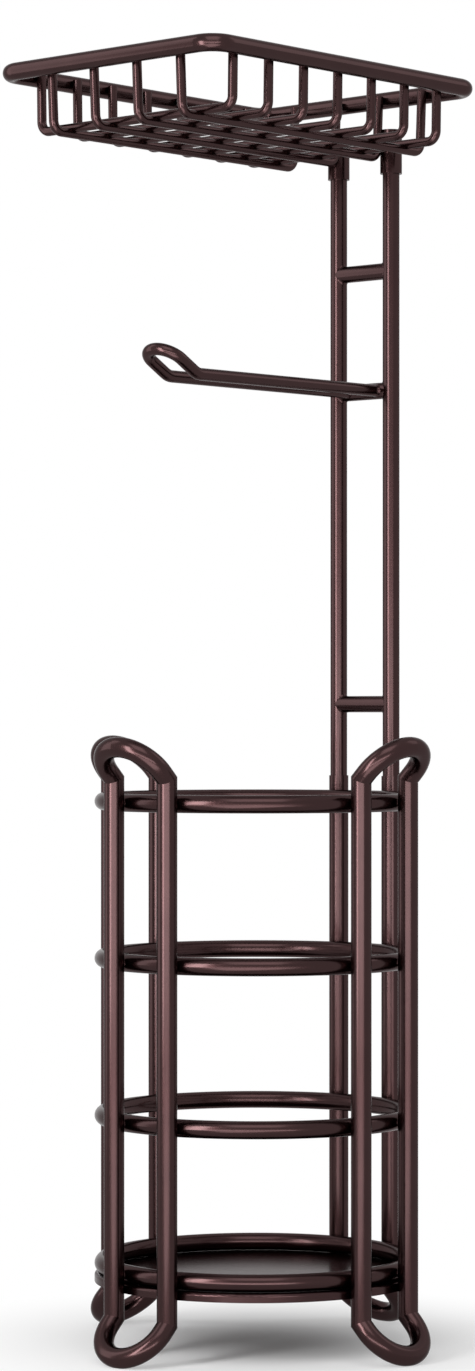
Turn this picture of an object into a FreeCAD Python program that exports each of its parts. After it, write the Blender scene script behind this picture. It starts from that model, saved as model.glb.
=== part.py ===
import FreeCAD, Part
import math
import os
from FreeCAD import Vector

# Free-standing toilet roll holder of bent and welded tube and wire, millimetres.
# +Z is up, the basket runs along X, the posts stand at +X, the roll arm points to -X.

# Cage of rings
ring_radius = 75.0
ring_wire = 8.6
top_ring_drop = 11.5
ring_pitch = 76.9
base_ring_height = 40.1

# Pressed pan under the lowest ring
plate_edge = 4.4
plate_sheet = 1.0
plate_inner_round = 0.6

# Legs: pairs of uprights closed by loops that lean outwards behind a sharp crease
leg_wall = 0.58
leg_spacing = 34.7
leg_crease_height = 277.7
leg_loop_run = 4.6
leg_lean_angle = 45.0
foot_flat = 0.4

# Posts, plugged into the open tops of the last leg
post_tube = 8.5
post_plug = 40.0
post_bevel = 0.6
lower_crossbar_rise = 36.2
upper_crossbar_drop = 86.0
crossbar_rod = 8.3

# Roll arm, a hairpin with its tip turned up
arm_wire = 6.0
arm_drop = 146.2
arm_spacing = 19.0
arm_reach = 135.4
arm_bend = 9.5
arm_tip_angle = 30.0
arm_tip_run = 12.8

# Basket shelf
rim_wire = 8.4
rim_length = 189.0
rim_width = 138.0
rim_corner = 9.5
rim_height = 618.2
rim_weld_bite = 0.3
shelf_wire = 4.6
shelf_bend = 5.0
basket_depth = 29.6
floor_weld_bite = 2.0
long_wall_inset = 1.4
cross_wall_inset = 0.4
wire_end_rise = 1.2
long_wire_count = 4
cross_wire_count = 7
cross_wire_end_gap = 19.95

# Sockets, sleeves welded to the end walls of the two inner long wires
socket_wall = 1.18
socket_length = 22.0
socket_drop = 5.5
socket_cap = 1.2
socket_side_step = 3.35
socket_weld_bite = 0.6

# Fits
weld_gap = 0.05
plug_clearance = 0.07
overrun = 1.0

# Places that follow from the sizes above
up = Vector(0, 0, 1)
plug_bore = post_tube / 2 + plug_clearance
leg_radius = plug_bore + leg_wall
leg_tube = 2 * leg_radius
socket_radius = plug_bore + socket_wall
leg_reach = math.sqrt((ring_radius + ring_wire / 2 + weld_gap + leg_radius) ** 2 - (leg_spacing / 2) ** 2)
lean = math.radians(leg_lean_angle)
loop_height = leg_loop_run + leg_spacing / 2
foot_crease_height = loop_height * math.cos(lean) + leg_radius - foot_flat
foot_reach = leg_reach + loop_height * math.sin(lean) + leg_radius
top_ring_height = leg_crease_height - top_ring_drop
lower_crossbar_height = leg_crease_height + lower_crossbar_rise
upper_crossbar_height = rim_height - upper_crossbar_drop
arm_height = rim_height - arm_drop
wire_radius = shelf_wire / 2
rim_to_wire = rim_wire / 2 + wire_radius - rim_weld_bite
wall_height = basket_depth + wire_end_rise
long_wire_height = rim_height - basket_depth
long_wire_pitch = leg_spacing - 2 * socket_side_step
cross_wire_pitch = (rim_length - 2 * cross_wire_end_gap) / (cross_wire_count - 1)
cross_wire_height = long_wire_height + shelf_wire - floor_weld_bite
socket_mouth = long_wire_height - wire_radius - socket_drop
socket_top = socket_mouth + socket_length
post_top = socket_top - socket_cap
post_bottom = leg_crease_height - post_plug

# The basket stands where its end wall bites into the sleeves at their tops
wall_inset_at_socket = long_wall_inset * (1 - (socket_top - long_wire_height) / wall_height)
socket_to_wire = socket_radius + wire_radius - socket_weld_bite
post_to_wall = math.sqrt(socket_to_wire ** 2 - socket_side_step ** 2)
shelf_centre = leg_reach - post_to_wall + wall_inset_at_socket + rim_to_wire - rim_length / 2

# The stand is set so that the origin is the middle of its whole outline on the floor
shelf_reach = rim_length / 2 + rim_wire / 2 - shelf_centre
stand_axis = Vector((shelf_reach - foot_reach) / 2, 0, 0)


def cylinder(start, direction, length, radius):
    return Part.makeCylinder(radius, length, start, direction)


def bent_path(points, bend):
    # straight runs between the points, each corner rounded by a tangent arc
    edges = []
    here = points[0]
    for before, corner, after in zip(points, points[1:], points[2:]):
        back = (before - corner).normalize()
        ahead = (after - corner).normalize()
        half_turn = (math.pi - back.getAngle(ahead)) / 2
        setback = bend * math.tan(half_turn)
        start = corner + back * setback
        end = corner + ahead * setback
        inward = (back + ahead).normalize()
        middle = corner + inward * (bend / math.cos(half_turn) - bend)
        if here.distanceToPoint(start) > weld_gap:
            edges.append(Part.LineSegment(here, start).toShape())
        edges.append(Part.Arc(start, middle, end).toShape())
        here = end
    edges.append(Part.LineSegment(here, points[-1]).toShape())
    return Part.Wire(edges)


def bent_rod(points, bend, radius):
    path = bent_path(points, bend)
    section = Part.Wire(Part.makeCircle(radius, points[0], points[1] - points[0]))
    return path.makePipeShell([section], True, False)


def mitre_block(point, normal, size):
    # a block with one face through the point, lying on the side that the normal shows
    block = Part.makeBox(size, size, size, Vector(-size / 2, -size / 2, 0))
    turn = FreeCAD.Rotation(up, normal)
    block.Placement = FreeCAD.Placement(point, turn)
    return block


def leg_loop(crease_height, rise):
    # one leaning loop of a leg on the -X side; rise is up for the top loop and down for the foot
    along = Vector(-math.sin(lean), 0, rise * math.cos(lean))
    across = Vector(0, leg_spacing / 2, 0)
    crease = Vector(-leg_reach, 0, crease_height)
    below = crease - along * leg_tube
    far = crease + along * loop_height
    points = [below + across, far + across, far - across, below - across]
    loop = bent_rod(points, leg_spacing / 2, leg_radius)
    tilt = lean / 2
    inside = Vector(math.sin(tilt), 0, -rise * math.cos(tilt))
    return loop.cut(mitre_block(crease, inside, leg_spacing * 2))


def leg_uprights(bottom, top):
    length = top - bottom
    uprights = []
    for side in (1, -1):
        start = Vector(-leg_reach, side * leg_spacing / 2, bottom)
        uprights.append(cylinder(start, up, length, leg_radius))
    return uprights


def mitred_uprights(open_top):
    tilt = lean / 2
    top = leg_crease_height if open_top else leg_crease_height + leg_tube
    shape = Part.makeCompound(leg_uprights(foot_crease_height - leg_tube, top))
    foot = Vector(-leg_reach, 0, foot_crease_height)
    shape = shape.cut(mitre_block(foot, Vector(-math.sin(tilt), 0, -math.cos(tilt)), leg_spacing * 2))
    if not open_top:
        crease = Vector(-leg_reach, 0, leg_crease_height)
        shape = shape.cut(mitre_block(crease, Vector(-math.sin(tilt), 0, math.cos(tilt)), leg_spacing * 2))
    return shape


def floor_cut():
    side = 2 * (foot_reach + overrun)
    return Part.makeBox(side, side, leg_tube, Vector(-side / 2, -side / 2, -leg_tube))


def leg(turn_degrees, open_top):
    shape = mitred_uprights(open_top).fuse(leg_loop(foot_crease_height, -1))
    if open_top:
        for side in (1, -1):
            start = Vector(-leg_reach, side * leg_spacing / 2, post_bottom)
            shape = shape.cut(cylinder(start, up, post_plug + overrun, plug_bore))
    else:
        shape = shape.fuse(leg_loop(leg_crease_height, 1))
    shape = shape.cut(floor_cut())
    shape.rotate(Vector(0, 0, 0), up, turn_degrees)
    return shape


def ring(height):
    return Part.makeTorus(ring_radius, ring_wire / 2, Vector(0, 0, height), up)


def base_plate():
    # a shallow pan with a turned-down edge, spun round the stand's axis
    top = base_ring_height - ring_wire / 2 - weld_gap
    outer = ring_radius + ring_wire / 2
    plate_round = plate_inner_round + plate_sheet
    diagonal_share = math.sqrt(0.5)
    outer_centre = Vector(outer - plate_round, 0, top - plate_round)
    outer_middle = outer_centre + Vector(1, 0, 1) * plate_round * diagonal_share
    inner_middle = outer_centre + Vector(1, 0, 1) * plate_inner_round * diagonal_share
    axis_top = Vector(0, 0, top)
    flat_end = Vector(outer - plate_round, 0, top)
    edge_start = Vector(outer, 0, top - plate_round)
    edge_foot = Vector(outer, 0, top - plate_edge)
    inner_foot = Vector(outer - plate_sheet, 0, top - plate_edge)
    inner_start = Vector(outer - plate_sheet, 0, top - plate_round)
    inner_flat = Vector(outer - plate_round, 0, top - plate_sheet)
    axis_bottom = Vector(0, 0, top - plate_sheet)
    outline = [
        Part.LineSegment(axis_top, flat_end),
        Part.Arc(flat_end, outer_middle, edge_start),
        Part.LineSegment(edge_start, edge_foot),
        Part.LineSegment(edge_foot, inner_foot),
        Part.LineSegment(inner_foot, inner_start),
        Part.Arc(inner_start, inner_middle, inner_flat),
        Part.LineSegment(inner_flat, axis_bottom),
        Part.LineSegment(axis_bottom, axis_top),
    ]
    face = Part.Face(Part.Wire([line.toShape() for line in outline]))
    return face.revolve(Vector(0, 0, 0), up, 360)


def post_foot(side):
    return Vector(leg_reach, side * leg_spacing / 2, post_bottom)


def post(side):
    rod = cylinder(post_foot(side), up, post_top - post_bottom, post_tube / 2)
    ends = [edge for edge in rod.Edges if isinstance(edge.Curve, Part.Circle)]
    return rod.makeChamfer(post_bevel, ends)


def crossbar(height):
    start = Vector(leg_reach, -leg_spacing / 2, height)
    bar = cylinder(start, Vector(0, 1, 0), leg_spacing, crossbar_rod / 2)
    for side in (1, -1):
        bar = bar.cut(cylinder(post_foot(side), up, post_top - post_bottom, post_tube / 2 + weld_gap))
    return bar


def roll_arm():
    # both wires of the hairpin start on the crossbar, their ends hollowed to fit it
    half = arm_spacing / 2
    slope = math.radians(arm_tip_angle)
    root = Vector(leg_reach, 0, arm_height)
    knee = root - Vector(arm_reach, 0, 0)
    rise = Vector(-math.cos(slope), 0, math.sin(slope))
    middle = knee + rise * (arm_tip_run / 2)
    tip = knee + rise * (arm_tip_run + half)
    front = Vector(0, -half, 0)
    near = bent_rod([root + front, knee + front, middle + front], arm_bend, arm_wire / 2)
    far = near.mirror(Vector(0, 0, 0), Vector(0, 1, 0))
    bow = bent_rod([middle + front, tip + front, tip - front, middle - front], half, arm_wire / 2)
    arm = near.fuse([far, bow])
    crossbar_start = Vector(leg_reach, -leg_spacing / 2, arm_height)
    return arm.cut(cylinder(crossbar_start, Vector(0, 1, 0), leg_spacing, crossbar_rod / 2 + weld_gap))


def shelf_rim(radius):
    # half of the rounded rectangle, doubled across its middle
    centre = Vector(shelf_centre, 0, rim_height)
    side = Vector(0, rim_width / 2, 0)
    end = Vector(rim_length / 2, 0, 0)
    points = [centre + side, centre + end + side, centre + end - side, centre - side]
    half = bent_rod(points, rim_corner, radius)
    return half.fuse(half.mirror(centre, Vector(1, 0, 0)))


def basket_wire(floor_middle, along, span, inset, radius):
    # a U whose ends rise inside the rim and whose walls draw in towards the floor
    top = Vector(0, 0, rim_height + wire_end_rise - floor_middle.z)
    outer = along * (span / 2 - rim_to_wire)
    inner = outer - along * inset
    near_wall = [floor_middle - outer + top, floor_middle - inner]
    far_wall = [floor_middle + inner, floor_middle + outer + top]
    return bent_rod(near_wall + far_wall, shelf_bend, radius)


def long_wire(number, radius):
    place = (number - (long_wire_count - 1) / 2) * long_wire_pitch
    middle = Vector(shelf_centre, place, long_wire_height)
    return basket_wire(middle, Vector(1, 0, 0), rim_length, long_wall_inset, radius)


def cross_wire(number):
    place = (number - (cross_wire_count - 1) / 2) * cross_wire_pitch
    middle = Vector(shelf_centre + place, 0, cross_wire_height)
    return basket_wire(middle, Vector(0, 1, 0), rim_width, cross_wall_inset, wire_radius)


def socket(side, wire_seats):
    mouth = Vector(leg_reach, side * leg_spacing / 2, socket_mouth)
    sleeve = cylinder(mouth, up, socket_length, socket_radius)
    bore = cylinder(mouth, up, socket_length - socket_cap, plug_bore)
    return sleeve.cut([bore] + wire_seats)


def save(name, shape):
    placed = shape.copy()
    placed.translate(stand_axis)
    placed.exportStep("parts/" + name + ".step")
    print(name, "volume", round(placed.Volume), "valid", placed.isValid(), "solids", len(placed.Solids))


os.makedirs("parts", exist_ok=True)

save("left_leg", leg(0, False))
save("front_leg", leg(90, False))
save("back_leg", leg(-90, False))
save("post_leg", leg(180, True))

save("top_ring", ring(top_ring_height))
save("upper_ring", ring(top_ring_height - ring_pitch))
save("lower_ring", ring(top_ring_height - 2 * ring_pitch))
save("base_ring", ring(base_ring_height))
save("base_plate", base_plate())

save("front_post", post(-1))
save("back_post", post(1))
save("lower_crossbar", crossbar(lower_crossbar_height))
save("arm_crossbar", crossbar(arm_height))
save("upper_crossbar", crossbar(upper_crossbar_height))
save("roll_arm", roll_arm())

save("shelf_rim", shelf_rim(rim_wire / 2))
rim_seat = shelf_rim(rim_wire / 2 + weld_gap)
wire_seats = [long_wire(number, wire_radius + weld_gap) for number in range(long_wire_count)]
for number in range(long_wire_count):
    save("long_wire_" + str(number + 1), long_wire(number, wire_radius).cut(rim_seat))
for number in range(cross_wire_count):
    save("cross_wire_" + str(number + 1), cross_wire(number).cut([rim_seat] + wire_seats))
save("front_socket", socket(-1, wire_seats))
save("back_socket", socket(1, wire_seats))
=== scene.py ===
import math

import bmesh
import bpy
from mathutils import Matrix, Vector


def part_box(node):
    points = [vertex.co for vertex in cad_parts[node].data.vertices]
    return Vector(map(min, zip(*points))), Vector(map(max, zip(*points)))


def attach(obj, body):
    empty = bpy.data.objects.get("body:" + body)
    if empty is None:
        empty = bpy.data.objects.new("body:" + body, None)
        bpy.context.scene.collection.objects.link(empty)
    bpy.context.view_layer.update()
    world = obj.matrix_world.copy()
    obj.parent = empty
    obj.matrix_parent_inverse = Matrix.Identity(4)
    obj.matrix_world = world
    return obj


# Free-standing toilet roll holder of bent and welded tube under one dark bronze coat, in metres.
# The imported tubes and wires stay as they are; this script adds the welds, the finish and the studio.

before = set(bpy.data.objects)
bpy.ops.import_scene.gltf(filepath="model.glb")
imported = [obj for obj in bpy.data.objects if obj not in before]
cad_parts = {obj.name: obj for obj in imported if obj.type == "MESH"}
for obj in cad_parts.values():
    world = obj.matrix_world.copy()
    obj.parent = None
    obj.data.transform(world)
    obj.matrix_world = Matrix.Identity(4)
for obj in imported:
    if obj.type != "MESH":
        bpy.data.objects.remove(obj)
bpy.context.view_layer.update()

# Camera, level, as the photograph was taken
camera_azimuth = math.radians(-48.12)
camera_distance = 1.9401
camera_height = 0.3087
camera_lens = 103.75
camera_shift = (-0.0136, 0.0211)

# Welds under the coat
neck_reach = 0.0028
neck_waist_share = 0.4
fillet_reach = 0.0021
fillet_root_share = 0.7
weld_sink = 0.0002
weld_turns = 28
weld_steps = 6

# Coat, a dark metallic brown that clouds a little under a thin clear layer
coat_colours = ((0.034, 0.0157, 0.016), (0.0373, 0.0172, 0.0175))
coat_colour_places = (0.3, 0.7)
coat_edge_tint = (0.5, 0.48, 0.48)
coat_roughness = (0.22, 0.26)
clear_weight = 0.18
clear_roughness = 0.14
cloud_scale = 60.0
roughness_scale = 110.0
noise_detail = 1.0

# Studio
white = (1, 1, 1)
world_fill = 0.2
world_seen = 1.0
floor_reach = 40.0
floor_colour = (0.92, 0.92, 0.92)
shadow_reach = 0.2

up = Vector((0, 0, 1))
along = Vector((1, 0, 0))
across = Vector((0, 1, 0))


def middle_of(node):
    low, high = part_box(node)
    return (low + high) / 2


def half_size_of(node):
    low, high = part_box(node)
    return (high - low) / 2


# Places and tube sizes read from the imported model
stand_axis = middle_of("top_ring") * (along + across)
ring_wire_radius = half_size_of("top_ring").z
ring_radius = half_size_of("top_ring").x - ring_wire_radius
post_radius = half_size_of("front_post").x
half_spacing = abs(middle_of("front_post").y)
leg_reach = middle_of("front_post").x - stand_axis.x
leg_radius = half_size_of("post_leg").y - half_spacing
bar_radius = half_size_of("upper_crossbar").z
arm_root = middle_of("arm_crossbar")
arm_wire_radius = arm_root.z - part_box("roll_arm")[0].z
arm_half_spacing = half_size_of("roll_arm").y - arm_wire_radius


def round_the_stand(turn, distance, height):
    # a place round the stand's axis; the turn is in degrees from the camera, to its right
    azimuth = camera_azimuth + math.radians(turn)
    return stand_axis + Vector((math.sin(azimuth) * distance, -math.cos(azimuth) * distance, height))


def link(item):
    bpy.context.scene.collection.objects.link(item)
    return item


# Camera and lamps

def make_camera():
    data = bpy.data.cameras.new("photo_camera")
    data.lens = camera_lens
    data.shift_x, data.shift_y = camera_shift
    camera = link(bpy.data.objects.new("photo_camera", data))
    camera.location = round_the_stand(0, camera_distance, camera_height)
    camera.rotation_euler = (math.pi / 2, 0, camera_azimuth)
    bpy.context.scene.camera = camera


def softbox(name, place, aim, size, radiance):
    width, height = size
    data = bpy.data.lights.new(name, "AREA")
    data.shape = "RECTANGLE"
    data.size = width
    data.size_y = height
    data.energy = radiance * math.pi * width * height
    lamp = link(bpy.data.objects.new(name, data))
    lamp.location = place
    lamp.rotation_euler = (place - aim).to_track_quat("Z", "Y").to_euler()


def standing_softbox(name, turn, distance, height, size, radiance):
    # an upright softbox that faces the stand's axis
    place = round_the_stand(turn, distance, height)
    softbox(name, place, stand_axis + up * height, size, radiance)


def make_lights():
    standing_softbox("key_strip", turn=-41, distance=0.85, height=0.45, size=(0.2, 0.7), radiance=14.9)
    standing_softbox("front_bank", turn=-4, distance=2.2, height=0.2, size=(2.7, 0.4), radiance=6.5)
    standing_softbox("left_wall", turn=-95, distance=1.3, height=1.1, size=(0.6, 2.2), radiance=1.9)
    standing_softbox("right_wall", turn=100, distance=1.3, height=1.5, size=(0.6, 1.2), radiance=1.1)
    top_place = round_the_stand(turn=0, distance=0.9, height=1.4)
    top_aim = round_the_stand(turn=0, distance=0, height=0.3)
    softbox("top_box", top_place, top_aim, size=(0.9, 0.9), radiance=2.2)
    floor_place = round_the_stand(turn=-5, distance=0.85, height=0.002)
    softbox("floor_bounce", floor_place, floor_place + up, size=(0.8, 0.8), radiance=3.8)


# Materials

def new_material(name):
    material = bpy.data.materials.new(name)
    material.use_nodes = True
    material.node_tree.nodes.clear()
    return material, material.node_tree.nodes, material.node_tree.links


def noise(nodes, links, coordinates, scale):
    texture = nodes.new("ShaderNodeTexNoise")
    texture.inputs["Scale"].default_value = scale
    texture.inputs["Detail"].default_value = noise_detail
    links.new(coordinates, texture.inputs["Vector"])
    return texture.outputs["Fac"]


def ramp(nodes, links, value, places, colours):
    node = nodes.new("ShaderNodeValToRGB")
    for element, place, colour in zip(node.color_ramp.elements, places, colours):
        element.position = place
        element.color = (*colour, 1)
    links.new(value, node.inputs["Fac"])
    return node.outputs["Color"]


def remap(nodes, links, value, low, high):
    node = nodes.new("ShaderNodeMapRange")
    node.inputs["To Min"].default_value = low
    node.inputs["To Max"].default_value = high
    links.new(value, node.inputs["Value"])
    return node.outputs["Result"]


def bronze_coat():
    material, nodes, links = new_material("bronze_coat_finish")
    output = nodes.new("ShaderNodeOutputMaterial")
    shader = nodes.new("ShaderNodeBsdfPrincipled")
    links.new(shader.outputs["BSDF"], output.inputs["Surface"])
    place = nodes.new("ShaderNodeTexCoord").outputs["Object"]
    cloud = noise(nodes, links, place, cloud_scale)
    colour = ramp(nodes, links, cloud, coat_colour_places, coat_colours)
    links.new(colour, shader.inputs["Base Color"])
    shader.inputs["Metallic"].default_value = 1.0
    shader.inputs["Specular Tint"].default_value = (*coat_edge_tint, 1)
    shader.inputs["Coat Weight"].default_value = clear_weight
    shader.inputs["Coat Roughness"].default_value = clear_roughness
    roughness = remap(nodes, links, noise(nodes, links, place, roughness_scale), *coat_roughness)
    links.new(roughness, shader.inputs["Roughness"])
    return material


def background_ray(nodes, links):
    # 1 for rays that show the background itself: seen, mirrored or passed through glass
    path = nodes.new("ShaderNodeLightPath")
    total = path.outputs["Is Camera Ray"]
    for kind in ("Is Glossy Ray", "Is Transmission Ray"):
        either = nodes.new("ShaderNodeMath")
        either.operation = "MAXIMUM"
        links.new(total, either.inputs[0])
        links.new(path.outputs[kind], either.inputs[1])
        total = either.outputs["Value"]
    return total


def make_world():
    world = bpy.data.worlds.new("studio")
    world.use_nodes = True
    nodes, links = world.node_tree.nodes, world.node_tree.links
    background = nodes["Background"]
    background.inputs["Color"].default_value = (*white, 1)
    strength = remap(nodes, links, background_ray(nodes, links), world_fill, world_seen)
    links.new(strength, background.inputs["Strength"])
    bpy.context.scene.world = world


def floor_material():
    # takes the stand's shadow near its feet and fades to the white background further out
    material, nodes, links = new_material("studio_floor")
    output = nodes.new("ShaderNodeOutputMaterial")
    near = nodes.new("ShaderNodeBsdfDiffuse")
    near.inputs["Color"].default_value = (*floor_colour, 1)
    far = nodes.new("ShaderNodeEmission")
    far.inputs["Color"].default_value = (*white, 1)
    place = nodes.new("ShaderNodeTexCoord").outputs["Object"]
    distance = nodes.new("ShaderNodeVectorMath")
    distance.operation = "LENGTH"
    links.new(place, distance.inputs[0])
    fade = nodes.new("ShaderNodeMapRange")
    fade.interpolation_type = "SMOOTHSTEP"
    fade.inputs["From Max"].default_value = shadow_reach
    links.new(distance.outputs["Value"], fade.inputs["Value"])
    share = nodes.new("ShaderNodeMath")
    share.operation = "MULTIPLY"
    links.new(fade.outputs["Result"], share.inputs[0])
    links.new(background_ray(nodes, links), share.inputs[1])
    blend = nodes.new("ShaderNodeMixShader")
    links.new(share.outputs["Value"], blend.inputs["Fac"])
    links.new(near.outputs["BSDF"], blend.inputs[1])
    links.new(far.outputs["Emission"], blend.inputs[2])
    links.new(blend.outputs["Shader"], output.inputs["Surface"])
    return material


def make_floor():
    mesh = bpy.data.meshes.new("floor")
    signs = ((-1, -1), (1, -1), (1, 1), (-1, 1))
    corners = [(floor_reach * x, floor_reach * y, 0) for x, y in signs]
    mesh.from_pydata(corners, [], [(0, 1, 2, 3)])
    mesh.materials.append(floor_material())
    link(bpy.data.objects.new("floor", mesh))


# Welds

def fillet_curve(start, corner, end):
    # a hollow fillet from start to end, drawn in towards the corner
    curve = []
    for step in range(weld_steps + 1):
        share = step / weld_steps
        curve.append(start * (1 - share) ** 2 + corner * (2 * share * (1 - share)) + end * share ** 2)
    return curve


def weld_neck(first, first_way, first_radius, second, second_way, second_radius):
    # the spool of weld where two tubes cross square; first and second lie on their axes beside the contact
    normal = (second - first).normalized()
    contact = (first + normal * first_radius + second - normal * second_radius) / 2
    sections = []
    for turn in range(weld_turns):
        angle = 2 * math.pi * turn / weld_turns
        along_first = neck_reach * math.cos(angle)
        along_second = neck_reach * math.sin(angle)
        side = first_way * along_first + second_way * along_second
        start = first + side + normal * (math.sqrt(first_radius ** 2 - along_second ** 2) - weld_sink)
        end = second + side - normal * (math.sqrt(second_radius ** 2 - along_first ** 2) - weld_sink)
        sections.append(fillet_curve(start, contact + side * neck_waist_share, end))
    poles = (contact - normal * 2 * weld_sink, contact + normal * 2 * weld_sink)
    return sections, poles


def bar_fillet(root, bar_way, bar_size, tube_way, tube_size):
    # the fillet round a bar that stands square on a tube; the root lies on both axes
    side_way = bar_way.cross(tube_way)
    sections = []
    for turn in range(weld_turns):
        angle = 2 * math.pi * turn / weld_turns
        aside = bar_size * math.cos(angle)
        lift = bar_size * math.sin(angle)
        seat = math.sqrt(tube_size ** 2 - aside ** 2)
        spoke = side_way * aside + tube_way * lift
        corner = root + spoke + bar_way * seat
        on_bar = root + spoke * (1 - weld_sink / bar_size) + bar_way * (seat + fillet_reach)
        wrap = math.atan2(aside, seat) + math.cos(angle) * fillet_reach / tube_size
        skin = side_way * math.sin(wrap) + bar_way * math.cos(wrap)
        rise = lift + math.sin(angle) * fillet_reach
        on_tube = root + skin * (tube_size - weld_sink) + tube_way * rise
        inside = root + (spoke + bar_way * seat) * fillet_root_share
        sections.append(fillet_curve(on_bar, corner, on_tube) + [inside])
    return sections


def add_sections(shape, sections, poles):
    # joins neighbouring sections into one closed skin; with no poles each section is itself a loop
    rows = [[shape.verts.new(point) for point in section] for section in sections]
    for here, there in zip(rows, rows[1:] + rows[:1]):
        for place in range(len(here) - 1):
            shape.faces.new((here[place], there[place], there[place + 1], here[place + 1]))
        if not poles:
            shape.faces.new((here[-1], there[-1], there[0], here[0]))
    if poles:
        first_pole, last_pole = [shape.verts.new(point) for point in poles]
        for here, there in zip(rows, rows[1:] + rows[:1]):
            shape.faces.new((first_pole, there[0], here[0]))
            shape.faces.new((last_pole, here[-1], there[-1]))


def weld_piece(name, body, welds):
    shape = bmesh.new()
    for sections, poles in welds:
        add_sections(shape, sections, poles)
    bmesh.ops.recalc_face_normals(shape, faces=shape.faces)
    mesh = bpy.data.meshes.new(name)
    shape.to_mesh(mesh)
    shape.free()
    mesh.shade_smooth()
    mesh.materials.append(coat)
    piece = link(bpy.data.objects.new(name, mesh))
    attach(piece, body)


def ring_welds(ring):
    # one neck at each of the eight uprights that the ring lies against
    height = up * middle_of(ring).z
    welds = []
    for quarter in range(4):
        quarter_turn = Matrix.Rotation(quarter * math.pi / 2, 3, "Z")
        for side in (1, -1):
            upright = quarter_turn @ Vector((leg_reach, side * half_spacing, 0))
            outward = upright.normalized()
            on_ring = stand_axis + height + outward * ring_radius
            on_upright = stand_axis + height + upright
            ring_way = up.cross(outward)
            welds.append(weld_neck(on_ring, ring_way, ring_wire_radius, on_upright, up, leg_radius))
    weld_piece(ring + "_welds", "cage", welds)


def crossbar_welds(bar):
    welds = []
    for side in (1, -1):
        root = middle_of(bar) + across * side * half_spacing
        welds.append((bar_fillet(root, across * -side, bar_radius, up, post_radius), None))
    weld_piece(bar + "_welds", "upper_frame", welds)


def roll_arm_welds():
    welds = []
    for side in (1, -1):
        root = arm_root + across * side * arm_half_spacing
        welds.append((bar_fillet(root, -along, arm_wire_radius, across, bar_radius), None))
    weld_piece("roll_arm_welds", "upper_frame", welds)


coat = bronze_coat()
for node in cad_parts.values():
    for slot in node.material_slots:
        slot.material = coat

for ring in ("top_ring", "upper_ring", "lower_ring", "base_ring"):
    ring_welds(ring)
for bar in ("lower_crossbar", "arm_crossbar", "upper_crossbar"):
    crossbar_welds(bar)
roll_arm_welds()

make_camera()
make_lights()
make_world()
make_floor()
bpy.context.scene.view_settings.view_transform = "Standard"
